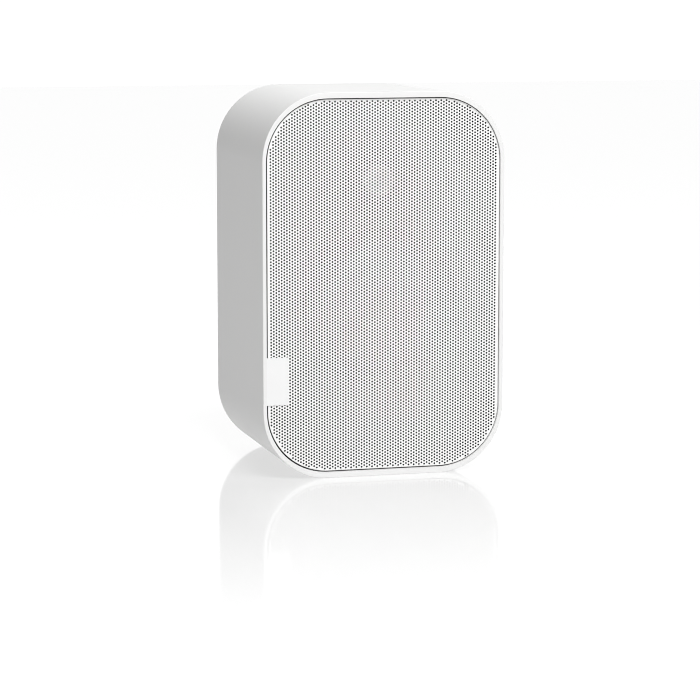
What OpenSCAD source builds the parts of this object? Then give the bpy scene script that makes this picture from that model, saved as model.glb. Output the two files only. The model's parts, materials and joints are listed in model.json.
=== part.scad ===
// Two-way loudspeaker in a moulded, rounded cabinet with a perforated metal grille.
// The front faces -Y, +Z is up, and the origin is at the middle of the underside.

/* [Cabinet] */
// Width of the cabinet at its front edge
body_w = 162; // [150:1:190]
// Height of the cabinet at its front edge
body_h = 250; // [236:1:280]
// Depth of the cabinet from rim to back
body_d = 142; // [130:1:190]
// Radius of the four big corners at the front edge
corner_r = 44; // [34:1:50]
// Thickness of the side walls
wall = 3.2; // [2.6:0.1:4]
// Thickness of the back wall
back_wall = 5; // [4.6:0.1:6]
// Radius of the edge between the side walls and the back
back_edge_r = 7; // [6:0.5:9]
// Width of the front rim at the two sides
rim_side = 2.4; // [2:0.1:4]
// Width of the front rim at the top and the bottom
rim_end = 3.8; // [3:0.1:5]
// Radius on the outer edge of the front rim
rim_edge_r = 0.5; // [0.3:0.1:1.2]

/* [Baffle] */
// Depth of the baffle's front face behind the front rim
baffle_set = 14; // [13:0.5:18]
// Thickness of the baffle
baffle_t = 5; // [4:0.5:8]
// Clearance round the baffle in its pocket
baffle_fit = 0.3; // [0.1:0.1:0.6]
// Width of the ledge that carries the baffle
ledge_w = 5; // [4:0.5:7]
// Thickness of the ledge
ledge_t = 3; // [2:0.5:5]
// Thickness of the foam gasket under the baffle
gasket_t = 1.5; // [1:0.1:2.5]
// Radius of the screw posts under the baffle
post_r = 4; // [3.6:0.1:5]
// Length of the screw posts under the baffle
post_len = 24; // [20:1:32]
// Height of the two side screws above the middle of the cabinet
side_screw_y = 30; // [26:1:40]

/* [Grille] */
// Gap between the grille and the rim
grille_gap = 0.8; // [0.6:0.05:1]
// Depth of the grille's face behind the front rim
grille_set = 1.6; // [0.5:0.1:2.5]
// Thickness of the grille sheet
grille_t = 1; // [0.8:0.1:1.4]
// Outer radius of the fold at the grille's edge
grille_fold_r = 1.5; // [1.5:0.1:2.5]
// Pitch of the staggered holes, drawn coarser than the real 2 mm
hole_pitch = 10; // [9:0.5:14]
// Diameter of the holes, half their pitch as on the real sheet
hole_d = 5; // [3:0.5:6]
// Width of the plain strip inside the grille's edge
plain_strip = 2; // [1.5:0.5:6]

/* [Label plate] */
// Width of the bare plate on the grille
label_w = 14.5; // [10:0.5:20]
// Height of the bare plate
label_h = 31; // [24:1:40]
// Height of the plate's middle above the underside of the cabinet
label_z = 64.5; // [60:0.5:90]
// Thickness of the plate
label_t = 0.5; // [0.4:0.05:0.5]
// Depth of the leg that is folded into the gap beside the grille
label_leg = 6; // [4:0.5:9]

/* [Woofer] */
// Outside diameter of the woofer's frame, without its ears
woofer_od = 104; // [94:1:112]
// Gap between the woofer's frame and the tweeter's face plate
driver_gap = 3; // [2:0.5:6]
// Thickness of the stamped steel frame
frame_t = 1.2; // [1:0.1:1.6]
// Distance of the four screws outside the frame's edge
ear_out = 3.6; // [3.5:0.1:4]
// Radius of the ears round the screws
ear_r = 5; // [4.6:0.1:6]
// Depth of the spider ledge behind the baffle's front face
spider_depth = 19; // [17:1:22]
// Depth of the frame's floor behind the baffle's front face
frame_depth = 28.2; // [27:0.2:34]
// Width of the six windows in the frame
window_w = 22; // [16:1:24]
// Width of the spider from the voice coil former to the frame
spider_w = 18.5; // [17:0.5:19.5]
// Outside radius of the voice coil former
former_r = 13; // [12:0.5:14]
// Thickness of the voice coil former
former_t = 0.4; // [0.3:0.05:0.6]
// Thickness of the copper winding
winding_t = 0.45; // [0.3:0.05:0.6]
// Height of the copper winding
winding_h = 9; // [7:0.5:11]
// Air gap on each side of the voice coil
coil_gap = 0.5; // [0.4:0.05:0.7]
// Depth of the cone's neck behind the baffle's front face
neck_depth = 15; // [13:0.5:16]
// Radius of the half roll of the surround
roll_r = 3.5; // [3:0.1:3.8]
// Width of the surround's outer lip
lip_w = 4; // [3.5:0.1:5]
// Radius of the dust cap where it meets the cone
cap_r = 16; // [15:0.5:20]
// Height of the dust cap's dome
cap_h = 5; // [3:0.5:8]
// Thickness of the front and back pole plates
plate_t = 4; // [3:0.5:6]
// Outside radius of the pole plates
plate_r = 28; // [28:0.5:32]
// Outside radius of the ferrite magnet
magnet_r = 33; // [32:0.5:38]
// Thickness of the ferrite magnet
magnet_t = 12; // [10:0.5:16]

/* [Tweeter] */
// Depth of the tweeter's middle below the top of the cabinet
tweeter_drop = 58; // [54:1:60]
// Diameter of the tweeter's face plate
tweeter_od = 54; // [50:1:54]
// Thickness of the face plate
face_t = 2.6; // [2:0.1:3.5]
// Diameter of the circle through the tweeter's screws
tweeter_pcd = 46.5; // [46:0.1:47]
// Radius of the soft dome
dome_r = 10.2; // [9.5:0.1:11]
// Height of the soft dome
dome_h = 4.5; // [3:0.1:6]
// Radius of the tweeter's top plate and magnet
motor_r = 19; // [18:0.5:19.5]
// Thickness of the tweeter's magnet
tweeter_magnet_t = 8; // [6:0.5:12]

/* [Crossover] */
// Width of the crossover board
board_w = 96; // [90:1:104]
// Height of the crossover board
board_h = 60; // [56:1:62]
// Thickness of the crossover board
board_t = 1.6; // [1.2:0.2:2]
// Depth of the board's middle below the top of the cabinet
board_drop = 130; // [127:1:130]
// Length of the posts that hold the board off the back wall
standoff = 8; // [6:1:12]
// Outside radius of the woofer's inductor
woofer_coil_r = 16; // [13:0.5:16.5]
// Height of the woofer's inductor
woofer_coil_h = 16; // [12:1:20]
// Outside radius of the tweeter's inductor
tweeter_coil_r = 11; // [9:0.5:12]
// Height of the tweeter's inductor
tweeter_coil_h = 12; // [9:1:16]
// Radius of the core that both inductors are wound on
core_r = 6; // [5:0.5:7]
// Radius of the woofer's capacitor
woofer_cap_r = 7; // [5:0.5:7]
// Length of the woofer's capacitor
woofer_cap_len = 32; // [24:1:34]
// Radius of the tweeter's capacitor
tweeter_cap_r = 6; // [4:0.5:6.5]
// Length of the tweeter's capacitor
tweeter_cap_len = 26; // [18:1:28]
// Length of the resistor
resistor_len = 25; // [18:1:26]
// Width and height of the resistor
resistor_w = 8; // [6:0.5:9]

/* [Terminals] */
// Height of the terminal cup's middle above the underside of the cabinet
cup_z = 47; // [46:1:50]
// Width of the cup's hollow
cup_w = 55; // [50:1:60]
// Height of the cup's hollow
cup_h = 41; // [38:1:42]
// Depth of the cup's hollow from the back of the cabinet
cup_depth = 18; // [18:0.5:24]
// Wall thickness of the cup
cup_wall = 2.5; // [2:0.1:3]
// Width of the cup's flange outside its walls
flange_w = 6; // [5.5:0.1:7]
// Thickness of the cup's flange, let into the back wall
flange_t = 3; // [2.8:0.1:3.4]
// Distance between the two binding posts
terminal_pitch = 19; // [18:0.5:22]
// Radius of the binding post's thread
stud_r = 3; // [2.9:0.05:3.2]
// Radius of the socket for a 4 mm plug
socket_r = 2; // [1.95:0.05:2.1]
// Depth of the socket for a 4 mm plug
socket_depth = 12; // [10:0.5:13]
// Radius of the knob
knob_r = 5.5; // [5:0.25:7]
// Length of the knob
knob_len = 11.5; // [10:0.5:12]

/* [Bracket inserts] */
// Distance between the two threaded inserts in the back
insert_pitch = 60; // [50:1:60]
// Depth of the upper insert below the top of the cabinet
insert_drop = 25; // [24:1:32]
// Radius of the insert's tapped hole for an M6 bolt
insert_bore_r = 2.5; // [2:0.25:2.75]
// Outside radius of the insert
insert_r = 4; // [3.75:0.25:4.5]
// Length of the insert
insert_len = 12; // [9:0.5:14]

/* [Hidden] */
$fn = 72;
// Sides drawn on small round holes and pins
small_fn = 24;
// Overlap that makes one solid of two forms
bite = 1;
// Amount a cut runs past the face it starts from
over = 1;

front_z = body_d / 2;
back_z = -body_d / 2;
inner_back = back_z + back_wall;
pocket_w = body_w - 2 * rim_side;
pocket_h = body_h - 2 * rim_end;
pocket_r = corner_r - (rim_side + rim_end) / 2;
baffle_z = front_z - baffle_set;
gasket_top = baffle_z - baffle_t;
ledge_top = gasket_top - gasket_t;
grille_face = front_z - grille_set;

// Screws: radius of shank and head, height of head, and the clearance round the shank
screw_r = 1.75;
screw_head_r = 3.4;
screw_head_h = 2.2;
screw_play = 0.1;
screw_len = 16;
woofer_screw_len = 12;
small_screw_r = 1.4;
small_head_r = 2.6;
small_head_h = 1.8;
small_screw_len = 9;

// Posts: ribs that tie them to the wall, their solid ends and how far they stand into the ledge
rib_t = 2.5;
post_end = 3;
post_in = 1;
rib_bite = 0.6;

// The six baffle screws: one in each corner and one at each side
corner_reach = (pocket_r - ledge_w - post_r + post_in) * cos(45);
corner_x = pocket_w / 2 - pocket_r + corner_reach;
corner_y = pocket_h / 2 - pocket_r + corner_reach;
side_x = pocket_w / 2 - ledge_w - post_r + post_in;
baffle_spots = concat(
    [for (sx = [-1, 1], sy = [-1, 1]) [sx * corner_x, sy * corner_y, atan2(sy, sx)]],
    [for (sx = [-1, 1]) [sx * side_x, side_screw_y, 90 - 90 * sx]]
);

// Both drivers hang from the top of the cabinet, the woofer below the tweeter
tweeter_y = body_h / 2 - tweeter_drop;
woofer_y = tweeter_y - (tweeter_od + woofer_od) / 2 - driver_gap;

// Collar behind each driver's hole in the baffle
collar_w = 4;
collar_h = 3;

// Woofer: heights are from the baffle's front face
woofer_pcd = woofer_od + 2 * ear_out;
flange_seat = 7;
frame_play = 0.9;
woofer_hole_r = woofer_od / 2 - flange_seat;
frame_in = woofer_hole_r - frame_play;
frame_wall = 0.7;
ledge_out_r = former_r + spider_w;
ledge_in_r = ledge_out_r - 5;
floor_in_r = former_r + 3;
window_end = 4;
spider_t = 0.6;
spider_neck = 2;
spider_flat = 0.5;
wave_count = 4;
wave_h = 0.9;
rim_t = 0.6;
rim_flat = 2.6;
rim_skew = 0.4;
cone_t = 0.75;
cone_r = woofer_od / 2 - lip_w - 2 * roll_r;
roll_t = 0.7;
roll_mid = cone_r + roll_r;
lip_play = 0.5;
trim_t = 1.2;
trim_play = 0.6;
cap_t = 0.6;
glue_t = 0.05;
plate_top = -frame_depth;
gap_mid = plate_top - plate_t / 2;
pole_r = former_r - former_t - coil_gap + 0.1;
plate_hole_r = former_r + winding_t + coil_gap;
magnet_set = 1.5;
magnet_hole_r = plate_hole_r + magnet_set;
former_ends = [gap_mid - winding_h / 2 - 1, 2 - neck_depth];
vent_r = 3;

// Tweeter: heights are from the baffle's front face
tweeter_hole_r = motor_r + 0.8;
throat_lip = 0.8;
flare_w = 5.6;
face_edge = 0.6;
lip_t = 0.6;
dome_t = 0.4;
coil_in_r = dome_r - 0.2;
coil_out_r = dome_r + 0.2;
coil_len = 5;
tweeter_plate_t = 3;
tweeter_gap_r = coil_out_r + coil_gap;
tweeter_pole_r = coil_in_r - 0.4;
pole_set = 0.4;
surround_roll = 1.1;
surround_t = 0.3;
surround_in = 2;

// Crossover
board_y = body_h / 2 - board_drop;
board_back = inner_back + standoff;
board_front = board_back + board_t;
board_corner_r = 2;
board_hole_in = 5;
board_hole_x = board_w / 2 - board_hole_in;
board_hole_y = board_h / 2 - board_hole_in;
board_post_r = 3.5;
bobbin_bore_r = 2.5;
bobbin_wall = 1.5;
bobbin_rim = 1;

// Places of the parts on the board, from the board's middle: one column on each side
side_strip = 2 * board_hole_in;
part_gap = 3;
left_x = side_strip + woofer_coil_r - board_w / 2;
right_x = board_w / 2 - side_strip - tweeter_cap_len / 2;
woofer_cap_at = [left_x, board_h / 2 - part_gap - woofer_cap_r];
woofer_coil_at = [left_x, woofer_cap_at.y - woofer_cap_r - part_gap - woofer_coil_r];
tweeter_coil_at = [right_x, board_h / 2 - part_gap - tweeter_coil_r];
tweeter_cap_at = [right_x, tweeter_coil_at.y - tweeter_coil_r - part_gap - tweeter_cap_r];
resistor_at = [right_x, part_gap + resistor_w / 2 - board_h / 2];

// Terminals: heights are from the back of the cabinet, going forward
cup_y = cup_z - body_h / 2;
cup_floor = back_z + cup_depth;
cup_corner_r = 8;
cup_fit = 0.3;
flange_corner_r = flange_w;
cup_screw_in = cup_wall + 1.5;
cup_screw_x = cup_w / 2 + cup_screw_in;
cup_screw_y = cup_h / 2 + cup_screw_in;
// How deep the heads of the cup's screws are sunk in its flange
cup_sink = small_head_h + 0.2;
washer_t = 1;
washer_r = 4.8;
thread_play = 0.05;
nut_r = 5.2;
nut_h = 4;
stud_past_nut = 2;
stud_end = cup_floor + cup_wall + nut_h + stud_past_nut;
stud_tip = back_z + 2;
wire_hole_r = 1;
wire_hole_up = 1.5;
flute_count = 12;
flute_r = 0.9;
flute_out = 0.5;
knob_collar = 2.5;
upper_insert_y = body_h / 2 - insert_drop;
insert_spots = [upper_insert_y, upper_insert_y - insert_pitch];
insert_wall = 3;

// Everything is drawn with x to the right, y up and z towards the listener, then stood up
module stood() {
    translate([0, 0, body_h / 2]) rotate([90, 0, 0]) children();
}

module at_woofer() {
    translate([0, woofer_y, baffle_z]) children();
}

module at_tweeter() {
    translate([0, tweeter_y, baffle_z]) children();
}

// A flat outline with round corners
module outline(w, h, r) {
    square([w - 2 * r, h], center = true);
    square([w, h - 2 * r], center = true);
    for (sx = [-1, 1], sy = [-1, 1]) {
        translate([sx * (w / 2 - r), sy * (h / 2 - r)]) circle(r = r);
    }
}

module slab(w, h, r, z, t) {
    translate([0, 0, z]) linear_extrude(t) outline(w, h, r);
}

// Half section of a rounded block: x runs out from the corner's centre, y is the height
module wall_section(r, z0, z1, back_round, front_round) {
    polygon(concat(
        [[0, z0], [r - back_round, z0]],
        back_round > 0 ? [[r, z0 + back_round]] : [],
        front_round > 0 ? [[r, z1 - front_round]] : [],
        [[r - front_round, z1], [0, z1]]
    ));
    if (back_round > 0) translate([r - back_round, z0 + back_round]) circle(r = back_round);
    if (front_round > 0) translate([r - front_round, z1 - front_round]) circle(r = front_round);
}

// Carries a half section once round a rectangle with round corners
module carried(w, h, r) {
    for (q = [0:3]) {
        across = (q % 2 == 0 ? w : h) / 2 - r;
        along = (q % 2 == 0 ? h : w) / 2 - r;
        rotate([0, 0, 90 * q]) translate([across, along, 0]) {
            rotate([90, 0, 0]) linear_extrude(2 * along) children();
            rotate_extrude(angle = 90) children();
        }
    }
}

// A block with round corners and rounded back and front edges
module moulded_block(w, h, r, z0, z1, back_round, front_round) {
    carried(w, h, r) wall_section(r, z0, z1, back_round, front_round);
    translate([0, 0, (z0 + z1) / 2]) {
        cube([w - 2 * r + 2 * bite, h - 2 * r + 2 * bite, z1 - z0], center = true);
    }
}

module pin(r, z0, z1) {
    translate([0, 0, z0]) cylinder(r = r, h = z1 - z0, $fn = small_fn);
}

module cabinet_skin() {
    difference() {
        moulded_block(body_w, body_h, corner_r, back_z, front_z, back_edge_r, rim_edge_r);
        moulded_block(
            body_w - 2 * wall, body_h - 2 * wall, corner_r - wall,
            inner_back, ledge_top, back_edge_r - wall, 0
        );
        slab(pocket_w, pocket_h, pocket_r, ledge_top, front_z - ledge_top + over);
    }
}

module baffle_ledge() {
    translate([0, 0, ledge_top - ledge_t]) linear_extrude(ledge_t) difference() {
        outline(body_w - 2 * wall + bite, body_h - 2 * wall + bite, corner_r - wall + bite / 2);
        outline(pocket_w - 2 * ledge_w, pocket_h - 2 * ledge_w, pocket_r - ledge_w);
    }
}

// Screw posts, each with a rib to the wall
module baffle_posts() {
    for (p = baffle_spots) translate([p.x, p.y, ledge_top - post_len]) {
        cylinder(r = post_r, h = post_len + gasket_t, $fn = small_fn);
        rotate([0, 0, p.z]) translate([0, -rib_t / 2, 0]) {
            cube([post_r + ledge_w - post_in + rib_bite, rib_t, post_len - ledge_t / 2]);
        }
    }
}

module board_posts() {
    for (sx = [-1, 1], sy = [-1, 1]) {
        translate([sx * board_hole_x, board_y + sy * board_hole_y, 0]) {
            pin(board_post_r, inner_back - bite, board_back);
        }
    }
}

module insert_bosses() {
    for (y = insert_spots) translate([0, y, 0]) {
        pin(insert_r + insert_wall, inner_back - bite, back_z + insert_len + insert_wall);
    }
}

module cup_screw_bosses() {
    for (sx = [-1, 1], sy = [-1, 1]) {
        translate([sx * cup_screw_x, cup_y + sy * cup_screw_y, 0]) {
            pin(board_post_r, inner_back - bite, inner_back + small_screw_len);
        }
    }
}

module cabinet_cuts() {
    for (p = baffle_spots) translate([p.x, p.y, 0]) {
        pin(screw_r + screw_play, ledge_top - post_len + post_end, gasket_top + over);
    }
    for (sx = [-1, 1], sy = [-1, 1]) {
        translate([sx * board_hole_x, board_y + sy * board_hole_y, 0]) {
            pin(small_screw_r + screw_play, inner_back, board_back + over);
        }
        translate([sx * cup_screw_x, cup_y + sy * cup_screw_y, 0]) {
            pin(small_screw_r + screw_play, back_z, inner_back + small_screw_len - 1);
        }
    }
    for (y = insert_spots) translate([0, y, 0]) pin(insert_r, back_z - over, back_z + insert_len);
    translate([0, cup_y, 0]) {
        slab(
            cup_w + 2 * (cup_wall + flange_w + cup_fit), cup_h + 2 * (cup_wall + flange_w + cup_fit),
            flange_corner_r + cup_fit, back_z - over, flange_t + over
        );
        slab(
            cup_w + 2 * (cup_wall + cup_fit), cup_h + 2 * (cup_wall + cup_fit),
            cup_corner_r + cup_wall + cup_fit, back_z, back_wall + over
        );
    }
}

module cabinet() {
    color("white") stood() difference() {
        union() {
            cabinet_skin();
            baffle_ledge();
            baffle_posts();
            board_posts();
            insert_bosses();
            cup_screw_bosses();
        }
        cabinet_cuts();
    }
}

// Ring that stiffens the back of the baffle round a driver's hole
module collar(hole_r) {
    translate([0, 0, -baffle_t - collar_h]) cylinder(r = hole_r + collar_w, h = collar_h + bite);
}

module baffle() {
    color("dimgray") stood() difference() {
        union() {
            slab(
                pocket_w - 2 * baffle_fit, pocket_h - 2 * baffle_fit, pocket_r - baffle_fit,
                gasket_top, baffle_t
            );
            at_woofer() collar(woofer_hole_r);
            at_tweeter() collar(tweeter_hole_r);
        }
        at_woofer() {
            translate([0, 0, -3 * baffle_t]) cylinder(r = woofer_hole_r, h = 4 * baffle_t);
            ring_of(4, woofer_pcd) pin(screw_r + screw_play, -3 * baffle_t, over);
        }
        at_tweeter() {
            translate([0, 0, -3 * baffle_t]) cylinder(r = tweeter_hole_r, h = 4 * baffle_t);
            ring_of(4, tweeter_pcd) pin(small_screw_r + screw_play, -3 * baffle_t, over);
        }
        for (p = baffle_spots) translate([p.x, p.y, 0]) {
            pin(screw_r + screw_play, gasket_top - over, baffle_z + over);
        }
    }
}

module baffle_gasket() {
    color("black") stood() translate([0, 0, ledge_top]) linear_extrude(gasket_t) difference() {
        outline(pocket_w - 2 * baffle_fit, pocket_h - 2 * baffle_fit, pocket_r - baffle_fit);
        outline(pocket_w - 2 * ledge_w, pocket_h - 2 * ledge_w, pocket_r - ledge_w);
        for (p = baffle_spots) translate([p.x, p.y]) circle(r = post_r + baffle_fit, $fn = small_fn);
    }
}

// Repeats a thing n times on a circle, starting half a step round
module ring_of(n, pcd) {
    for (i = [0:n - 1]) rotate([0, 0, 360 / n * (i + 0.5)]) translate([pcd / 2, 0, 0]) children();
}

// A pan-head screw pointing down: the head stands on z = 0
module screw(r, head_r, head_h, length) {
    difference() {
        union() {
            pin(head_r, 0, head_h);
            pin(r, -length, bite / 2);
        }
        for (a = [0, 90]) rotate([0, 0, a]) translate([0, 0, head_h]) {
            cube([head_r * 1.1, head_r * 0.25, head_h], center = true);
        }
    }
}

module baffle_screws() {
    color("black") stood() for (p = baffle_spots) translate([p.x, p.y, baffle_z]) {
        screw(screw_r, screw_head_r, screw_head_h, screw_len);
    }
}

// True where a hole stays clear of the grille's edge
function fits(x, y, w, h, r) =
    abs(x) <= w / 2 && abs(y) <= h / 2 &&
    (abs(x) <= w / 2 - r || abs(y) <= h / 2 - r || norm([abs(x) - w / 2 + r, abs(y) - h / 2 + r]) <= r);

// Pressed sheet pan: a perforated face with its edge folded back to the baffle
module grille() {
    w = pocket_w - 2 * grille_gap;
    h = pocket_h - 2 * grille_gap;
    r = pocket_r - grille_gap;
    margin = grille_fold_r + plain_strip + hole_d / 2;
    column = hole_pitch * cos(30);
    columns = floor((w / 2 - margin) / column);
    rows = floor(h / 2 / hole_pitch) + 1;
    color("white") stood() difference() {
        moulded_block(w, h, r, baffle_z, grille_face, 0, grille_fold_r);
        moulded_block(
            w - 2 * grille_t, h - 2 * grille_t, r - grille_t,
            baffle_z - over, grille_face - grille_t, 0, grille_fold_r - grille_t
        );
        translate([0, 0, grille_face - grille_t - over]) linear_extrude(grille_t + 2 * over) {
            for (i = [-columns:columns], j = [-rows:rows]) {
                x = i * column;
                y = (j + (abs(i) % 2) / 2) * hole_pitch;
                if (fits(x, y, w - 2 * margin, h - 2 * margin, r - margin)) {
                    translate([x, y]) circle(d = hole_d, $fn = 16);
                }
            }
        }
    }
}

// Bare plate that lies on the grille, with one leg folded into the gap
module label_plate() {
    leg_play = (grille_gap - label_t) / 2;
    left = leg_play - pocket_w / 2;
    color("white") stood() translate([0, label_z - body_h / 2, 0]) {
        translate([left, label_h / 2, 0]) rotate([90, 0, 0]) linear_extrude(label_h) {
            translate([0, grille_face]) square([label_w, label_t]);
            translate([0, grille_face - label_leg]) square([label_t, label_leg + label_t / 2]);
        }
    }
}

// Stamped frame: ears and flange, a slotted cone-shaped wall, the spider ledge and a floor
module woofer_basket() {
    color("black") stood() at_woofer() difference() {
        union() {
            rotate_extrude() polygon([
                [woofer_od / 2, frame_t], [frame_in, frame_t],
                [ledge_out_r, -spider_depth], [ledge_in_r, -spider_depth],
                [ledge_in_r, frame_t - frame_depth], [floor_in_r, frame_t - frame_depth],
                [floor_in_r, -frame_depth], [ledge_in_r + frame_t, -frame_depth],
                [ledge_in_r + frame_t, -spider_depth - frame_t],
                [ledge_out_r + frame_wall, -spider_depth - frame_t],
                [frame_in + frame_wall, 0], [woofer_od / 2, 0]
            ]);
            ring_of(4, woofer_pcd) cylinder(r = ear_r, h = frame_t, $fn = small_fn);
        }
        ring_of(4, woofer_pcd) pin(screw_r + screw_play, -over, frame_t + over);
        for (i = [0:5]) rotate([0, 0, 60 * i]) {
            translate([ledge_in_r, -window_w / 2, window_end - spider_depth]) {
                cube([woofer_od / 2 - ledge_in_r, window_w, spider_depth - 2 * window_end]);
            }
        }
    }
}

module woofer_trim_ring() {
    color("black") stood() at_woofer() translate([0, 0, frame_t + roll_t]) difference() {
        cylinder(r = woofer_od / 2, h = trim_t);
        translate([0, 0, -over]) cylinder(r = roll_mid + roll_r + trim_play, h = trim_t + 2 * over);
    }
}

// Rubber half roll with a flat lip on each side
module woofer_surround() {
    z = frame_t;
    color("dimgray") stood() at_woofer() rotate_extrude() {
        translate([cone_r - rim_flat, z]) square([rim_flat + roll_t / 4, roll_t]);
        translate([roll_mid + roll_r - roll_t / 4, z]) {
            square([lip_w - lip_play + roll_t / 4, roll_t]);
        }
        difference() {
            translate([roll_mid, z]) circle(r = roll_r + roll_t / 2);
            translate([roll_mid, z]) circle(r = roll_r - roll_t / 2);
            translate([roll_mid - 2 * roll_r, z - 2 * roll_r]) square([4 * roll_r, 2 * roll_r]);
        }
    }
}

// Height of the cone's front face at radius r
function cone_front(r) =
    -neck_depth + cone_t
    + (frame_t + neck_depth - cone_t) * (r - former_r) / (cone_r - rim_flat - former_r);

module woofer_cone() {
    color("gray") stood() at_woofer() rotate_extrude() polygon([
        [former_r, -neck_depth], [former_r, -neck_depth + cone_t],
        [cone_r - rim_flat, frame_t], [cone_r, frame_t],
        [cone_r, frame_t - rim_t], [cone_r - rim_flat + rim_skew, frame_t - rim_t]
    ]);
}

module woofer_dust_cap() {
    base = cone_front(cap_r) + glue_t;
    ball_r = (cap_r * cap_r + cap_h * cap_h) / (2 * cap_h);
    color("gray") stood() at_woofer() rotate_extrude() intersection() {
        translate([0, base + cap_h - ball_r]) difference() {
            circle(r = ball_r);
            circle(r = ball_r - cap_t);
        }
        translate([0, base]) square([cap_r + 1, cap_h + 1]);
    }
}

// Corrugated disc between the coil former and the frame's ledge
module woofer_spider() {
    start = former_r + spider_neck;
    span = ledge_in_r - spider_flat - start;
    steps = 10 * wave_count;
    function wave(i) = wave_h * sin(360 * wave_count * i / steps);
    lower = [for (i = [0:steps]) [start + span * i / steps, wave(i) - spider_depth]];
    upper = [for (p = lower) [p.x, p.y + spider_t]];
    color("tan") stood() at_woofer() rotate_extrude() polygon(concat(
        [[former_r, -spider_depth]], lower, [[ledge_out_r, -spider_depth]],
        [[ledge_out_r, spider_t - spider_depth]],
        [for (i = [steps:-1:0]) upper[i]], [[former_r, spider_t - spider_depth]]
    ));
}

module tube(outer, inner, z0, z1) {
    translate([0, 0, z0]) difference() {
        cylinder(r = outer, h = z1 - z0);
        translate([0, 0, -over]) cylinder(r = inner, h = z1 - z0 + 2 * over);
    }
}

module coil_former() {
    color("silver") stood() at_woofer() {
        tube(former_r, former_r - former_t, former_ends[0], former_ends[1]);
    }
}

module coil_winding() {
    color("peru") stood() at_woofer() {
        tube(former_r + winding_t, former_r, gap_mid - winding_h / 2, gap_mid + winding_h / 2);
    }
}

module woofer_top_plate() {
    color("silver") stood() at_woofer() tube(plate_r, plate_hole_r, plate_top - plate_t, plate_top);
}

module woofer_magnet() {
    color("darkslategray") stood() at_woofer() {
        tube(magnet_r, magnet_hole_r, plate_top - plate_t - magnet_t, plate_top - plate_t);
    }
}

// Back plate with the vented pole piece standing on it
module woofer_back_plate() {
    bottom = plate_top - 2 * plate_t - magnet_t;
    color("silver") stood() at_woofer() difference() {
        union() {
            translate([0, 0, bottom]) cylinder(r = plate_r, h = plate_t);
            translate([0, 0, bottom]) cylinder(r = pole_r, h = plate_top - bottom);
        }
        translate([0, 0, bottom - over]) cylinder(r = vent_r, h = plate_top - bottom + 2 * over);
    }
}

module woofer_screws() {
    color("black") stood() at_woofer() ring_of(4, woofer_pcd) translate([0, 0, frame_t]) {
        screw(screw_r, screw_head_r, screw_head_h, woofer_screw_len);
    }
}

// Moulded face plate with a short flare round the dome
module tweeter_face_plate() {
    throat_r = dome_r + 2 * surround_roll + throat_lip;
    color("black") stood() at_tweeter() difference() {
        rotate_extrude() polygon([
            [throat_r, 0], [throat_r, throat_lip], [throat_r + flare_w, face_t],
            [tweeter_od / 2 - face_edge, face_t], [tweeter_od / 2, face_t - face_edge],
            [tweeter_od / 2, 0]
        ]);
        ring_of(4, tweeter_pcd) pin(small_screw_r + screw_play, -over, face_t + over);
    }
}

module tweeter_dome() {
    ball_r = (dome_r * dome_r + dome_h * dome_h) / (2 * dome_h);
    color("silver") stood() at_tweeter() rotate_extrude() intersection() {
        translate([0, dome_h - ball_r - lip_t / 2]) difference() {
            circle(r = ball_r);
            circle(r = ball_r - dome_t);
        }
        translate([0, -lip_t / 2]) square([dome_r + 1, dome_h + 1]);
    }
}

// Soft half roll between the dome and the clamped lip
module tweeter_surround() {
    mid = dome_r + surround_roll;
    edge = mid + surround_roll - surround_t / 2;
    color("dimgray") stood() at_tweeter() rotate_extrude() {
        translate([edge, -lip_t]) square([motor_r - surround_in - edge, lip_t]);
        translate([mid, -lip_t / 2]) difference() {
            circle(r = surround_roll);
            circle(r = surround_roll - surround_t);
            translate([-2 * surround_roll, -2 * surround_roll]) square([4, 2] * surround_roll);
        }
    }
}

module tweeter_coil() {
    color("peru") stood() at_tweeter() {
        tube(coil_out_r, coil_in_r, -lip_t / 2 - coil_len, -lip_t / 2);
    }
}

module tweeter_top_plate() {
    color("silver") stood() at_tweeter() {
        tube(motor_r, tweeter_gap_r, -lip_t - tweeter_plate_t, -lip_t);
    }
}

module tweeter_magnet() {
    top = -lip_t - tweeter_plate_t;
    color("darkslategray") stood() at_tweeter() {
        tube(motor_r, tweeter_gap_r + magnet_set, top - tweeter_magnet_t, top);
    }
}

module tweeter_back_plate() {
    top = -lip_t - tweeter_plate_t - tweeter_magnet_t;
    color("silver") stood() at_tweeter() {
        translate([0, 0, top - tweeter_plate_t]) cylinder(r = motor_r - 1, h = tweeter_plate_t);
        translate([0, 0, top - bite]) cylinder(r = tweeter_pole_r, h = -lip_t - pole_set - top + bite);
    }
}

module tweeter_screws() {
    color("black") stood() at_tweeter() ring_of(4, tweeter_pcd) translate([0, 0, face_t]) {
        screw(small_screw_r, small_head_r, small_head_h, small_screw_len);
    }
}

module crossover_board() {
    color("darkgreen") stood() translate([0, board_y, 0]) difference() {
        slab(board_w, board_h, board_corner_r, board_back, board_t);
        for (sx = [-1, 1], sy = [-1, 1]) translate([sx * board_hole_x, sy * board_hole_y, 0]) {
            pin(small_screw_r + screw_play, board_back - over, board_front + over);
        }
    }
}

module board_screws() {
    color("silver") stood() for (sx = [-1, 1], sy = [-1, 1]) {
        translate([sx * board_hole_x, board_y + sy * board_hole_y, board_front]) {
            screw(small_screw_r, small_head_r, small_head_h, standoff - 1);
        }
    }
}

// Spool with a bore and a flange at each end
module bobbin(r, h) {
    rotate_extrude() difference() {
        translate([bobbin_bore_r, 0]) square([r - bobbin_bore_r, h]);
        translate([core_r, bobbin_wall]) square([r, h - 2 * bobbin_wall]);
    }
}

module winding(r, h) {
    tube(r - bobbin_rim, core_r, bobbin_wall, h - bobbin_wall);
}

module on_board(at) {
    translate([at.x, board_y + at.y, board_front]) children();
}

module woofer_inductor_bobbin() {
    color("ivory") stood() on_board(woofer_coil_at) bobbin(woofer_coil_r, woofer_coil_h);
}

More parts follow.
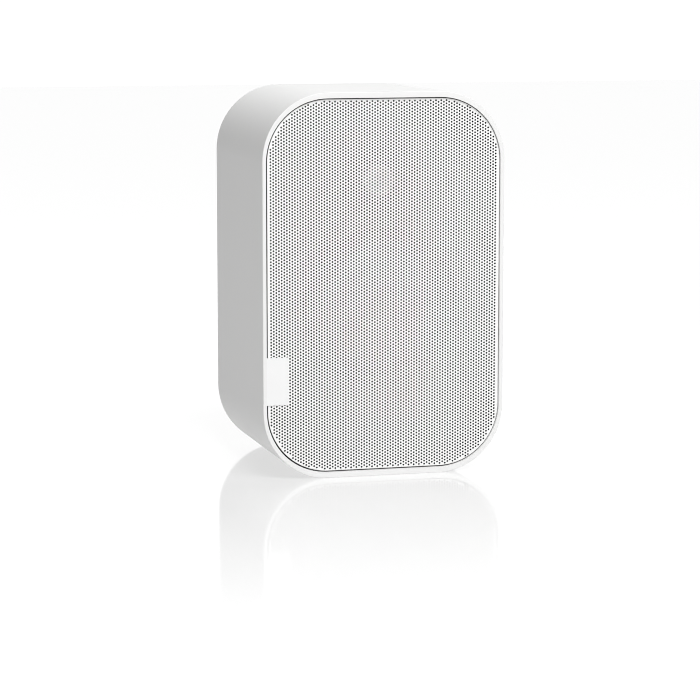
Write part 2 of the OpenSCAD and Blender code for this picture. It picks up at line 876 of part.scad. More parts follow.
module woofer_inductor_winding() {
    color("peru") stood() on_board(woofer_coil_at) winding(woofer_coil_r, woofer_coil_h);
}

module tweeter_inductor_bobbin() {
    color("ivory") stood() on_board(tweeter_coil_at) bobbin(tweeter_coil_r, tweeter_coil_h);
}

module tweeter_inductor_winding() {
    color("peru") stood() on_board(tweeter_coil_at) winding(tweeter_coil_r, tweeter_coil_h);
}

// Round capacitor lying on the board along x
module capacitor(r, length) {
    translate([-length / 2, 0, r]) rotate([0, 90, 0]) cylinder(r = r, h = length);
}

module tweeter_capacitor() {
    color("gold") stood() on_board(tweeter_cap_at) capacitor(tweeter_cap_r, tweeter_cap_len);
}

module woofer_capacitor() {
    color("steelblue") stood() on_board(woofer_cap_at) capacitor(woofer_cap_r, woofer_cap_len);
}

module crossover_resistor() {
    color("whitesmoke") stood() on_board(resistor_at) translate([0, 0, resistor_w / 2]) {
        cube([resistor_len, resistor_w, resistor_w], center = true);
    }
}

// Moulded cup let into the back wall, open to the back
module terminal_cup() {
    outer_w = cup_w + 2 * cup_wall;
    outer_h = cup_h + 2 * cup_wall;
    color("black") stood() translate([0, cup_y, 0]) difference() {
        union() {
            slab(outer_w + 2 * flange_w, outer_h + 2 * flange_w, flange_corner_r, back_z, flange_t);
            slab(outer_w, outer_h, cup_corner_r + cup_wall, back_z + flange_t / 2,
                cup_depth + cup_wall - flange_t / 2);
        }
        slab(cup_w, cup_h, cup_corner_r, back_z - over, cup_depth + over);
        for (side = [-1, 1]) translate([side * terminal_pitch / 2, 0, 0]) {
            pin(stud_r, cup_floor - over, cup_floor + cup_wall + over);
        }
        for (sx = [-1, 1], sy = [-1, 1]) translate([sx * cup_screw_x, sy * cup_screw_y, 0]) {
            pin(small_screw_r + screw_play, back_z - over, back_z + flange_t + over);
            pin(small_head_r + screw_play, back_z - over, back_z + cup_sink);
        }
    }
}

module terminal_screws() {
    color("black") stood() for (sx = [-1, 1], sy = [-1, 1]) {
        translate([sx * cup_screw_x, cup_y + sy * cup_screw_y, back_z + cup_sink]) mirror([0, 0, 1]) {
            screw(small_screw_r, small_head_r, small_head_h, small_screw_len);
        }
    }
}

module at_post(side) {
    translate([side * terminal_pitch / 2, cup_y, 0]) children();
}

// Metal post with a socket in its tip and a cross hole for bare wire
module post_stud(side) {
    at_post(side) difference() {
        pin(stud_r, stud_tip, stud_end);
        pin(socket_r, stud_tip - over, stud_tip + socket_depth);
        translate([0, 0, cup_floor - washer_t - wire_hole_up]) rotate([90, 0, 0]) {
            pin(wire_hole_r, -2 * stud_r, 2 * stud_r);
        }
    }
}

module post_washer(side) {
    at_post(side) tube(washer_r, stud_r + thread_play, cup_floor - washer_t, cup_floor);
}

// Fluted plastic knob that runs on the post's thread
module post_knob(side) {
    top = cup_floor - washer_t;
    at_post(side) difference() {
        tube(knob_r, stud_r + thread_play, top - knob_len, top);
        for (i = [0:flute_count - 1]) rotate([0, 0, 360 / flute_count * i]) {
            translate([knob_r + flute_out, 0, 0]) pin(flute_r, top - knob_len - over, top - knob_collar);
        }
    }
}

module red_post_stud() {
    color("gold") stood() post_stud(1);
}

module red_post_washer() {
    color("gold") stood() post_washer(1);
}

module red_post_knob() {
    color("red") stood() post_knob(1);
}

module black_post_stud() {
    color("gold") stood() post_stud(-1);
}

module black_post_washer() {
    color("gold") stood() post_washer(-1);
}

module black_post_knob() {
    color("black") stood() post_knob(-1);
}

module post_nuts() {
    bottom = cup_floor + cup_wall;
    color("gold") stood() for (side = [-1, 1]) at_post(side) difference() {
        translate([0, 0, bottom]) cylinder(r = nut_r, h = nut_h, $fn = 6);
        pin(stud_r, bottom - over, bottom + nut_h + over);
    }
}

module bracket_inserts() {
    color("gold") stood() for (y = insert_spots) translate([0, y, 0]) difference() {
        pin(insert_r, back_z, back_z + insert_len);
        pin(insert_bore_r, back_z - over, back_z + insert_len + over);
    }
}

cabinet();
baffle();
baffle_gasket();
baffle_screws();
grille();
label_plate();
woofer_basket();
woofer_trim_ring();
woofer_surround();
woofer_cone();
woofer_dust_cap();
woofer_spider();
coil_former();
coil_winding();
woofer_top_plate();
woofer_magnet();
woofer_back_plate();
woofer_screws();
tweeter_face_plate();
tweeter_dome();
tweeter_surround();
tweeter_coil();
tweeter_top_plate();
tweeter_magnet();
tweeter_back_plate();
tweeter_screws();
crossover_board();
board_screws();
woofer_inductor_bobbin();
woofer_inductor_winding();
tweeter_inductor_bobbin();
tweeter_inductor_winding();
tweeter_capacitor();
woofer_capacitor();
crossover_resistor();
terminal_cup();
terminal_screws();
red_post_stud();
red_post_washer();
red_post_knob();
black_post_stud();
black_post_washer();
black_post_knob();
post_nuts();
bracket_inserts();
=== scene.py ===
import json
import math

import bmesh
import bpy
import numpy as np
from mathutils import Matrix, Vector
from mathutils.geometry import delaunay_2d_cdt


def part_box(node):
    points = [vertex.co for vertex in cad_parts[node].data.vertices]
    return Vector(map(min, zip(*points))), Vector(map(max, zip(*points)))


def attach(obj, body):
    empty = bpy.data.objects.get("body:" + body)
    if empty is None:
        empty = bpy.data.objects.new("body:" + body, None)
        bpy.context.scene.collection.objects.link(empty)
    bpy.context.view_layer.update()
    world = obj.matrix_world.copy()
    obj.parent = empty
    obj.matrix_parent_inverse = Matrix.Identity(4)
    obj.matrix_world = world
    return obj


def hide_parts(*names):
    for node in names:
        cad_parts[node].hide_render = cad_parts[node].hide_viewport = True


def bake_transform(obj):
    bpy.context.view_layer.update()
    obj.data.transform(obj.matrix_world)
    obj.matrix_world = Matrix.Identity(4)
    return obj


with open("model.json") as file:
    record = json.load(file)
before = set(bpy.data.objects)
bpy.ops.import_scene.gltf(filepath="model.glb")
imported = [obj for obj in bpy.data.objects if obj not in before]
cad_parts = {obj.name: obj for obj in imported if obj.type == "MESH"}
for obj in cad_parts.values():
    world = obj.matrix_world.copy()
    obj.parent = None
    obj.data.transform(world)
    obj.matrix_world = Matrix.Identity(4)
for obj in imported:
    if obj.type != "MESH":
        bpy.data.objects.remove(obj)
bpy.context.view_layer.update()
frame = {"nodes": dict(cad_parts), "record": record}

mm = 0.001
print("frame loaded:", len(frame["nodes"]), "parts")


# How the studio and the camera are set. Pixels are those of the 700 x 700 picture. Left and right,
# here and below, are those of a viewer who faces the grille.
studio = {
    "turnDeg": 15.17,                # how far round to the left the camera stands
    "lookDownDeg": 8.03,
    "focalPx": 2670.0,
    "distance": 1.730,               # from the camera to the rim's plane, along the view
    "asideAndUp": (0.02238, 0.04188),   # how far the view's axis misses the rim's middle
    "pictureWidth": 700.0,
    "filterPx": 1.0,                 # a crisp picture
    "sensorMm": 36.0,
    "farEnd": 50.0,                  # nothing farther off is drawn
    "floorHalf": 6.0,
    "floorColor": 0.3,
    "floorRoughness": 0.8,
    "floorGlow": 0.75,
    "mirrorEnds": (-0.59, -0.107),   # along the view, where the mirror share is nothing and most
    "mirrorMost": 0.44,
    "mirrorColor": 0.97,
    "mirrorRoughness": 0.08,
    "roomLight": 0.2,                # light from all round
    "backdropLight": 0.9,            # more light from behind the speaker, seen past it
    "backdropRise": (0.3, 0.8),      # it rises with how far a ray heads backwards
    "backdropEdge": (-0.35, 0.1),    # and with how far it heads to the right
    "overheadLight": 0.5,            # more light from above
    "overheadRise": (0.5, 1.0),      # it rises with how far a ray heads upwards
    "keyPlace": (0.23, -1.65, 2.11),
    "keyAim": (0.0, 0.0, 0.12),
    "keySize": 1.4,
    "keyPower": 54.0,
}

# Sizes of the cabinet that the pieces below share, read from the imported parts
cabinetLow, cabinetHigh = (np.array(c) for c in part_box("cabinet"))
grilleLow, grilleHigh = (np.array(c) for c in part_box("grille"))
rimFront = cabinetLow[1]
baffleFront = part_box("baffle")[0][1]
rimMiddle = Vector((0, rimFront, (cabinetLow[2] + cabinetHigh[2]) / 2))


# Nodes and links
def addNode(tree, kind, settings=None, inputs=None):
    node = tree.nodes.new(kind)
    for key, value in (settings or {}).items():
        setattr(node, key, value)
    for key, value in (inputs or {}).items():
        node.inputs[key].default_value = value
    return node


def newFinish(name, color, roughness, **sockets):
    # A material with its shader ready; fixed values go straight onto the shader's own sockets.
    finish = bpy.data.materials.new(name)
    finish.use_nodes = True
    shader = finish.node_tree.nodes["Principled BSDF"]
    shader.inputs["Base Color"].default_value = (*color, 1)
    shader.inputs["Roughness"].default_value = roughness
    for key, value in sockets.items():
        shader.inputs[key].default_value = value
    return finish, finish.node_tree, shader


def objectPlace(tree):
    return addNode(tree, "ShaderNodeTexCoord").outputs["Object"]


def noiseOf(tree, place, scale, detail=3.0, rough=0.5):
    node = addNode(tree, "ShaderNodeTexNoise", inputs={
        "Scale": scale, "Detail": detail, "Roughness": rough})
    tree.links.new(place, node.inputs["Vector"])
    return node.outputs["Fac"]


def bandsOf(tree, place, direction, inputs):
    node = addNode(tree, "ShaderNodeTexWave", {
        "wave_type": "BANDS", "bands_direction": direction}, inputs)
    tree.links.new(place, node.inputs["Vector"])
    return node.outputs["Fac"]


def tintBy(tree, shader, value, color, tones, lift=0.0):
    # Runs the base colour from its first tone to its second as value goes from 0 to 1. A tone
    # multiplies the colour, and lift is added to the second.
    dark = [min(c * tones[0], 1) for c in color]
    light = [min(c * tones[1] + lift, 1) for c in color]
    ramp = addNode(tree, "ShaderNodeValToRGB")
    ramp.color_ramp.elements[0].color = (*dark, 1)
    ramp.color_ramp.elements[1].color = (*light, 1)
    tree.links.new(value, ramp.inputs["Fac"])
    tree.links.new(ramp.outputs["Color"], shader.inputs["Base Color"])
    return ramp


def bumpBy(tree, shader, value, height, strength):
    node = addNode(tree, "ShaderNodeBump", inputs={"Strength": strength, "Distance": height})
    tree.links.new(value, node.inputs["Height"])
    tree.links.new(node.outputs["Normal"], shader.inputs["Normal"])


def roughBy(tree, shader, value, roughness, swing):
    node = addNode(tree, "ShaderNodeMapRange", inputs={
        "To Min": roughness + swing[0], "To Max": roughness + swing[1]})
    tree.links.new(value, node.inputs["Value"])
    tree.links.new(node.outputs["Result"], shader.inputs["Roughness"])


# What each kind of surface has in common. A scale is the number of marks in a metre, tones
# multiply the colour, and swing is how far the roughness goes down and up.
surfaces = {
    "plastic": {"swing": (-0.04, 0.05), "relief": 0.6},
    "coat": {"driftScale": 14.0, "tones": (0.985, 1.01), "swing": (-0.05, 0.06), "relief": 0.5},
    "metal": {"dullScale": 90.0, "tones": (0.88, 1.0), "swing": (-0.08, 0.14),
              "scratchHeight": 0.02 * mm, "relief": 0.4},
    "paper": {"fibreScale": 1600.0, "mottleScale": 260.0, "tones": (0.8, 1.2),
              "swing": (-0.1, 0.08), "fibreHeight": 0.08 * mm, "relief": 0.7},
    "cloth": {"wander": 0.4, "tones": (0.6, 1.1), "threadHeight": 0.1 * mm, "relief": 0.6},
    "rubber": {"bloomScale": 120.0, "grainScale": 2200.0, "tones": (1.0, 1.5), "lift": 0.004,
               "swing": (-0.06, 0.08), "grainHeight": 0.03 * mm, "relief": 0.5},
    "ferrite": {"speckScale": 1200.0, "grindScale": 60.0, "tones": (0.6, 1.5),
                "swing": (-0.1, 0.1), "speckHeight": 0.05 * mm, "relief": 0.4},
    "wire": {"wander": 0.3, "tones": (0.45, 1.0), "turnHeight": 0.15 * mm, "relief": 0.8},
}


# Finishes
def mouldedPlastic(name, look):
    # Moulded plastic: a fine even grain, with colour and sheen that drift very slightly
    kind = surfaces["plastic"]
    finish, tree, shader = newFinish(name, look["color"], look["roughness"])
    place = objectPlace(tree)
    drift = noiseOf(tree, place, look["driftScale"], detail=2.0)
    grain = noiseOf(tree, place, look["grainScale"], detail=2.0, rough=0.6)
    tintBy(tree, shader, drift, look["color"], (1 - look["drift"], 1 + look["drift"]))
    roughBy(tree, shader, drift, look["roughness"], kind["swing"])
    bumpBy(tree, shader, grain, look["grainHeight"], kind["relief"])
    return finish


def powderCoat(name, look):
    # Baked powder coat on sheet: a faint orange peel under a soft satin. Where two depths are given
    # behind the front face, the colour runs between them from the coat's white to near black:
    # painted shade on the skirt in the gap round the grille and on the sheet's back.
    kind = surfaces["coat"]
    finish, tree, shader = newFinish(name, look["color"], look["roughness"])
    place = objectPlace(tree)
    peel = noiseOf(tree, place, look["peelScale"])
    drift = noiseOf(tree, place, kind["driftScale"], detail=2.0)
    ramp = tintBy(tree, shader, drift, look["color"], kind["tones"])
    roughBy(tree, shader, peel, look["roughness"], kind["swing"])
    bumpBy(tree, shader, peel, look["peelHeight"], kind["relief"])
    # painted shade: the colour darkens to near black with depth behind the front face
    if "gapShadeEnds" in look:
        depth = addNode(tree, "ShaderNodeSeparateXYZ")
        tree.links.new(place, depth.inputs[0])
        gapShade = addNode(tree, "ShaderNodeMapRange", inputs={
            "From Min": grilleLow[1] + look["gapShadeEnds"][0],
            "From Max": grilleLow[1] + look["gapShadeEnds"][1]})
        tree.links.new(depth.outputs["Y"], gapShade.inputs["Value"])
        mix = addNode(tree, "ShaderNodeMix", {"data_type": "RGBA"})
        mix.inputs["B"].default_value = (*look["bare"], 1)
        tree.links.new(gapShade.outputs["Result"], mix.inputs["Factor"])
        tree.links.new(ramp.outputs["Color"], mix.inputs["A"])
        tree.links.new(mix.outputs["Result"], shader.inputs["Base Color"])
    return finish


def brushedMetal(name, look):
    # Metal with fine scratches that run one way, and a little dulling
    kind = surfaces["metal"]
    finish, tree, shader = newFinish(name, look["color"], look["roughness"], Metallic=1.0)
    place = objectPlace(tree)
    stretch = addNode(tree, "ShaderNodeMapping", inputs={"Scale": look["stretch"]})
    tree.links.new(place, stretch.inputs["Vector"])
    scratch = noiseOf(
        tree, stretch.outputs["Vector"], look["scratchScale"], detail=4.0, rough=0.65)
    tintBy(tree, shader, noiseOf(tree, place, kind["dullScale"]), look["color"], kind["tones"])
    roughBy(tree, shader, scratch, look["roughness"], kind["swing"])
    bumpBy(tree, shader, scratch, kind["scratchHeight"], kind["relief"])
    return finish


def pressedPaper(name, look):
    # Pressed paper pulp: short fibres, mottled colour, a dull face
    kind = surfaces["paper"]
    finish, tree, shader = newFinish(name, look["color"], look["roughness"])
    place = objectPlace(tree)
    fibre = noiseOf(tree, place, kind["fibreScale"], detail=5.0, rough=0.7)
    mottle = noiseOf(tree, place, kind["mottleScale"], detail=4.0, rough=0.6)
    tintBy(tree, shader, mottle, look["color"], kind["tones"])
    roughBy(tree, shader, fibre, look["roughness"], kind["swing"])
    bumpBy(tree, shader, fibre, kind["fibreHeight"], kind["relief"])
    return finish


def resinCloth(name, look):
    # Woven cloth stiffened with resin: the higher of two crossed wave patterns makes the threads
    kind = surfaces["cloth"]
    finish, tree, shader = newFinish(name, look["color"], look["roughness"])
    place = objectPlace(tree)
    threadInputs = {"Scale": look["threadScale"], "Distortion": kind["wander"], "Detail": 1.0}
    weave = addNode(tree, "ShaderNodeMath", {"operation": "MAXIMUM"})
    for socket, direction in zip(weave.inputs, ("X", "Z")):
        tree.links.new(bandsOf(tree, place, direction, threadInputs), socket)
    tintBy(tree, shader, weave.outputs[0], look["color"], kind["tones"])
    bumpBy(tree, shader, weave.outputs[0], kind["threadHeight"], kind["relief"])
    return finish


def softRubber(name, look):
    # Matt rubber with a faint bloom and a soft grain
    kind = surfaces["rubber"]
    finish, tree, shader = newFinish(name, look["color"], look["roughness"])
    place = objectPlace(tree)
    bloom = noiseOf(tree, place, kind["bloomScale"], detail=4.0)
    grain = noiseOf(tree, place, kind["grainScale"], detail=2.0)
    tintBy(tree, shader, bloom, look["color"], kind["tones"], kind["lift"])
    roughBy(tree, shader, bloom, look["roughness"], kind["swing"])
    bumpBy(tree, shader, grain, kind["grainHeight"], kind["relief"])
    return finish


def groundFerrite(name, look):
    # Ground ferrite: dark stone with fine speckle, duller and brighter from the grinding
    kind = surfaces["ferrite"]
    finish, tree, shader = newFinish(name, look["color"], look["roughness"])
    place = objectPlace(tree)
    speck = addNode(tree, "ShaderNodeTexVoronoi", inputs={"Scale": kind["speckScale"]})
    tree.links.new(place, speck.inputs["Vector"])
    tintBy(tree, shader, speck.outputs["Distance"], look["color"], kind["tones"])
    grinding = noiseOf(tree, place, kind["grindScale"])
    roughBy(tree, shader, grinding, look["roughness"], kind["swing"])
    bumpBy(tree, shader, speck.outputs["Distance"], kind["speckHeight"], kind["relief"])
    return finish


def woundWire(name, look):
    # Enamelled wire laid in turns: bands across the winding's axis, which is Y
    kind = surfaces["wire"]
    finish, tree, shader = newFinish(name, look["color"], look["roughness"], Metallic=0.85)
    turns = bandsOf(tree, objectPlace(tree), "Y", {
        "Scale": look["turnScale"], "Distortion": kind["wander"]})
    tintBy(tree, shader, turns, look["color"], kind["tones"])
    bumpBy(tree, shader, turns, kind["turnHeight"], kind["relief"])
    return finish


finishLooks = {
    "cabinet_white": (mouldedPlastic, {
        "color": (0.80, 0.80, 0.795), "roughness": 0.42, "drift": 0.012, "driftScale": 9.0,
        "grainScale": 1500.0, "grainHeight": 0.02 * mm}),
    "grille_white": (powderCoat, {
        "color": (0.90, 0.90, 0.895), "roughness": 0.45, "peelScale": 900.0,
        # painted shade: the two depths and the near-black colour darken the gap round the grille
        # and the sheet's back
        "peelHeight": 0.01 * mm, "gapShadeEnds": (0.08 * mm, 0.45 * mm), "bare": (0.04, 0.04, 0.04)}),
    "label_white": (mouldedPlastic, {
        "color": (0.83, 0.83, 0.83), "roughness": 0.34, "drift": 0.01, "driftScale": 40.0,
        "grainScale": 2500.0, "grainHeight": 0.006 * mm}),
    "baffle_grey": (mouldedPlastic, {
        "color": (0.05, 0.05, 0.052), "roughness": 0.6, "drift": 0.12, "driftScale": 30.0,
        "grainScale": 1400.0, "grainHeight": 0.06 * mm}),
    "black_foam": (softRubber, {"color": (0.018, 0.018, 0.018), "roughness": 0.85}),
    "black_steel": (powderCoat, {
        "color": (0.02, 0.02, 0.02), "roughness": 0.4, "peelScale": 1200.0,
        "peelHeight": 0.02 * mm}),
    "zinc_steel": (brushedMetal, {
        "color": (0.62, 0.62, 0.6), "roughness": 0.32, "stretch": (1, 6, 1),
        "scratchScale": 300.0}),
    "ferrite": (groundFerrite, {"color": (0.055, 0.055, 0.06), "roughness": 0.55}),
    "roll_rubber": (softRubber, {"color": (0.022, 0.022, 0.023), "roughness": 0.5}),
    "cone_paper": (pressedPaper, {"color": (0.06, 0.06, 0.062), "roughness": 0.62}),
    "spider_cloth": (resinCloth, {
        "color": (0.55, 0.40, 0.16), "roughness": 0.7, "threadScale": 900.0}),
    "dome_silk": (resinCloth, {
        "color": (0.16, 0.16, 0.17), "roughness": 0.38, "threadScale": 1400.0}),
    "former_foil": (brushedMetal, {
        "color": (0.78, 0.78, 0.79), "roughness": 0.28, "stretch": (1, 8, 1),
        "scratchScale": 500.0}),
    "copper_wire": (woundWire, {"color": (0.72, 0.33, 0.16), "roughness": 0.3, "turnScale": 700.0}),
    "black_plastic": (mouldedPlastic, {
        "color": (0.022, 0.022, 0.023), "roughness": 0.42, "drift": 0.15, "driftScale": 40.0,
        "grainScale": 1300.0, "grainHeight": 0.05 * mm}),
    "red_plastic": (mouldedPlastic, {
        "color": (0.55, 0.012, 0.014), "roughness": 0.28, "drift": 0.06, "driftScale": 80.0,
        "grainScale": 1500.0, "grainHeight": 0.01 * mm}),
    "gilt_brass": (brushedMetal, {
        "color": (0.9, 0.68, 0.28), "roughness": 0.2, "stretch": (1, 5, 1), "scratchScale": 600.0}),
    "raw_brass": (brushedMetal, {
        "color": (0.78, 0.57, 0.25), "roughness": 0.3, "stretch": (1, 5, 1),
        "scratchScale": 500.0}),
    "board_resin": (mouldedPlastic, {
        "color": (0.03, 0.16, 0.06), "roughness": 0.3, "drift": 0.2, "driftScale": 200.0,
        "grainScale": 3000.0, "grainHeight": 0.02 * mm}),
    "bobbin_nylon": (mouldedPlastic, {
        "color": (0.72, 0.70, 0.6), "roughness": 0.4, "drift": 0.04, "driftScale": 60.0,
        "grainScale": 1500.0, "grainHeight": 0.02 * mm}),
    "film_yellow": (mouldedPlastic, {
        "color": (0.78, 0.5, 0.05), "roughness": 0.25, "drift": 0.08, "driftScale": 90.0,
        "grainScale": 900.0, "grainHeight": 0.03 * mm}),
    "film_blue": (mouldedPlastic, {
        "color": (0.03, 0.1, 0.35), "roughness": 0.28, "drift": 0.1, "driftScale": 90.0,
        "grainScale": 900.0, "grainHeight": 0.02 * mm}),
    "resistor_clay": (pressedPaper, {"color": (0.62, 0.6, 0.54), "roughness": 0.8}),
}
finishes = {slot: make(slot + "_finish", look) for slot, (make, look) in finishLooks.items()}
slotOfNode = {part["node"]: part["material_slot"] for part in frame["record"]["subparts"]}

for nodeName, part in frame["nodes"].items():
    for materialSlot in part.material_slots:
        materialSlot.material = finishes[slotOfNode[nodeName]]
    if not part.material_slots:
        part.data.materials.append(finishes[slotOfNode[nodeName]])
print("finishes:", len(finishes))


# Surfaces worked out as whole arrays
def gridFaces(rows, columns, firstVertex=0, around=True):
    # Quads of a grid of points, row by row; around joins the last column to the first.
    last = columns if around else columns - 1
    row, column = np.meshgrid(np.arange(rows - 1), np.arange(last), indexing="ij")
    nextColumn = (column + 1) % columns
    corners = [row * columns + column, row * columns + nextColumn,
               (row + 1) * columns + nextColumn, (row + 1) * columns + column]
    return np.stack([c.ravel() for c in corners], 1) + firstVertex


def cabinetRound(width, height, radius, perCorner):
    # A rectangle with round corners, seen from the front: for each place round it the middle of
    # its corner and its outward direction. A point is that middle plus (radius + outset) times the
    # direction.
    middles, ways = [], []
    quarter = np.linspace(0, math.pi / 2, perCorner + 1)
    halfX, halfZ = width / 2 - radius, height / 2 - radius
    for turn, (sideX, sideZ) in enumerate([(1, 1), (-1, 1), (-1, -1), (1, -1)]):
        angle = quarter + turn * math.pi / 2
        middles.append(np.tile([sideX * halfX, sideZ * halfZ], (perCorner + 1, 1)))
        ways.append(np.stack([np.cos(angle), np.sin(angle)], 1))
    return np.concatenate(middles), np.concatenate(ways)


def carriedProfile(middles, ways, radius, profile, centreX, centreZ):
    # Carries a profile round the cabinet's outline: row k of the grid is the outline set out by
    # profile[k][0] and laid at depth profile[k][1].
    outset, depth = np.array(profile, float).T
    flat = middles[None] + ways[None] * (radius + outset)[:, None, None]
    y = np.broadcast_to(depth[:, None], flat.shape[:2])
    return np.stack([flat[..., 0] + centreX, y, flat[..., 1] + centreZ], -1).reshape(-1, 3)


def makePiece(name, points, faces, body, slotName):
    mesh = bpy.data.meshes.new(name)
    mesh.from_pydata(points.tolist(), [], faces)
    mesh.validate()
    mesh.materials.append(finishes[slotName])
    piece = bpy.data.objects.new(name, mesh)
    bpy.context.scene.collection.objects.link(piece)
    if body:   # a piece given no body rides on none
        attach(piece, body)
    return piece


def obliqueMap(piece, slant=0.3):
    # Lays the piece flat for baking: across is x plus a little depth, up is z plus a little depth,
    # so that the walls of the holes keep some width.
    mesh = piece.data
    layer = mesh.uv_layers.new(name="OFBake")
    points = np.empty(len(mesh.vertices) * 3)
    mesh.vertices.foreach_get("co", points)
    points = points.reshape(-1, 3)
    corner = np.empty(len(mesh.loops), int)
    mesh.loops.foreach_get("vertex_index", corner)
    flat = points[:, [0, 2]] + slant * points[:, 1:2]
    flat = (flat - flat.min(0)) / (flat.max(0) - flat.min(0)).max()
    layer.data.foreach_set("uv", flat[corner].astype(np.float32).ravel())


# The grille: pressed sheet with thousands of round holes
grilleSheet = {
    "columnStep": 1.775 * mm,
    "rowStep": 2.0 * mm,
    "holeRadius": 0.64 * mm,
    "thickness": 0.5 * mm,
    "foldRadius": 0.5 * mm,
    "edgeWeb": 0.05 * mm,      # least metal between a hole and the fold
    "outset": 0.2 * mm,        # how much larger than its solid, all round
    "aside": 0.4 * mm,         # how far to the right of the cabinet's middle the sheet sits
    "patternAside": -0.2 * mm, # middle of the holes from the middle of the sheet
    "holeSides": 12,           # always twice the six of a cell
    "bands": 4,
    "cellSlack": 0.03 * mm,    # a whole cell stays this far inside the flat
    "sameCorner": 0.01 * mm,   # corners of cells this near are one
    "perCorner": 28,
    "cornerRadius": 40.1 * mm,
    "foldSteps": 6,
    "sharpDeg": 30.0,
}


def cellCorners(look):
    # Corners of the six-sided cell round a hole, from its middle
    angle = np.arange(6) * math.pi / 3
    across, upward = look["columnStep"] * 2 / 3, look["rowStep"] / math.sqrt(3)
    return np.stack([across * np.cos(angle), upward * np.sin(angle)], 1)


def holeRound(look):
    angle = np.arange(look["holeSides"]) * 2 * math.pi / look["holeSides"]
    return look["holeRadius"] * np.stack([np.cos(angle), np.sin(angle)], 1)


def holeMiddles(look, width, height, radius):
    # Middles of the holes: every other column is half a row higher. The flat of the sheet is a
    # rectangle with round corners: a hole is whole where all six corners of its cell lie inside
    # the flat, and an edge hole where only the hole itself does.
    halfColumns = int(width / 2 / look["columnStep"]) + 1
    halfRows = int(height / 2 / look["rowStep"]) + 2
    i, j = (a.ravel() for a in np.mgrid[-halfColumns:halfColumns, -halfRows:halfRows + 1])
    x = (i + 0.5) * look["columnStep"] + look["patternAside"]
    z = (j + (i % 2) / 2) * look["rowStep"]
    middles = np.stack([x, z], 1)

    def reach(points):
        over = np.maximum(np.abs(points) - (width / 2 - radius, height / 2 - radius), 0)
        return np.hypot(over[..., 0], over[..., 1])

    whole = (reach(middles[:, None] + cellCorners(look)) < radius - look["cellSlack"]).all(1)
    fits = reach(middles) < radius - look["holeRadius"] - look["edgeWeb"]
    return middles[whole], middles[fits & ~whole]


def perforatedBand(cells, look):
    # One closed stretch of sheet. Each cell is a hexagon round a hole with twice as many sides:
    # three triangles lie between each side of the hexagon and the hole, the back repeats the front
    # turned round, and walls close the holes and the cut edge.
    sides = look["holeSides"]
    corners = (cells[:, None] + cellCorners(look)).reshape(-1, 2)
    grid = np.round(corners / look["sameCorner"]).astype(np.int64)
    unique, index = np.unique(grid, axis=0, return_inverse=True)
    merged = np.zeros((len(unique), 2))
    merged[index.ravel()] = corners
    corner = index.reshape(-1, 6)
    hole = len(unique) + np.arange(len(cells) * sides).reshape(-1, sides)
    flat = np.concatenate([merged, (cells[:, None] + holeRound(look)).reshape(-1, 2)])
    triangles = []
    for k in range(6):
        a, b = corner[:, k], corner[:, (k + 1) % 6]
        h0, h1, h2 = hole[:, 2 * k], hole[:, 2 * k + 1], hole[:, (2 * k + 2) % sides]
        for three in ((a, b, h1), (a, h1, h0), (b, h2, h1)):
            triangles.append(np.stack(three, 1))
    front = np.concatenate(triangles)
    count = len(flat)
    nextHole = np.roll(hole, -1, 1)
    holeWalls = np.stack([hole.T, nextHole.T, nextHole.T + count, hole.T + count], 2)
    starts = np.concatenate([corner[:, k] for k in range(6)])
    ends = np.concatenate([corner[:, (k + 1) % 6] for k in range(6)])
    # A side used by one cell only is on the cut edge
    key = np.minimum(starts, ends) * count + np.maximum(starts, ends)
    _, first, times = np.unique(key, return_index=True, return_counts=True)
    lone = first[times == 1]
    edge = np.stack([starts[lone], ends[lone]], 1)
    edgeWalls = np.stack([edge[:, 1], edge[:, 0], edge[:, 0] + count, edge[:, 1] + count], 1)
    faces = front.tolist() + (front[:, ::-1] + count).tolist()
    faces += holeWalls.reshape(-1, 4).tolist() + edgeWalls.tolist()
    return flat, faces, edge


def sheetPoints(flat, frontY, backY, centreX, centreZ):
    # The flat points on the front face, and again on the back face
    front = np.stack([flat[:, 0] + centreX, np.full(len(flat), frontY), flat[:, 1] + centreZ], 1)
    back = front.copy()
    back[:, 1] = backY
    return np.concatenate([front, back])


def insideOf(points, starts, ends):
    # True where a line from the point to the right crosses the outlines an odd number of times
    x, z = points[:, :1], points[:, 1:]
    crosses = (starts[None, :, 1] > z) != (ends[None, :, 1] > z)
    with np.errstate(divide="ignore", invalid="ignore"):
        share = (z - starts[None, :, 1]) / (ends[None, :, 1] - starts[None, :, 1])
        at = starts[None, :, 0] + share * (ends[None, :, 0] - starts[None, :, 0])
    return (crosses & (at > x)).sum(1) % 2 == 1


def fillBetween(points, edges, nearest=1e-4, batches=30):
    # Triangles of the region that the closed outlines bound, worked out in millimetres: inside the
    # outermost outline and outside those within it
    points = points / mm
    found = delaunay_2d_cdt([Vector(p) for p in points], edges.tolist(), [], 0, nearest)
    origin = np.array([o[0] for o in found[3]])
    triangles = origin[np.array(found[2])]
    middle = points[triangles].mean(1)
    starts, ends = points[edges[:, 0]], points[edges[:, 1]]
    within = np.concatenate([
        insideOf(part, starts, ends) for part in np.array_split(middle, batches)])
    triangles = triangles[within]
    a, b, c = (points[triangles[:, k]] for k in range(3))
    turned = np.cross(b - a, c - a) < 0
    triangles[turned] = triangles[turned][:, ::-1]
    return triangles


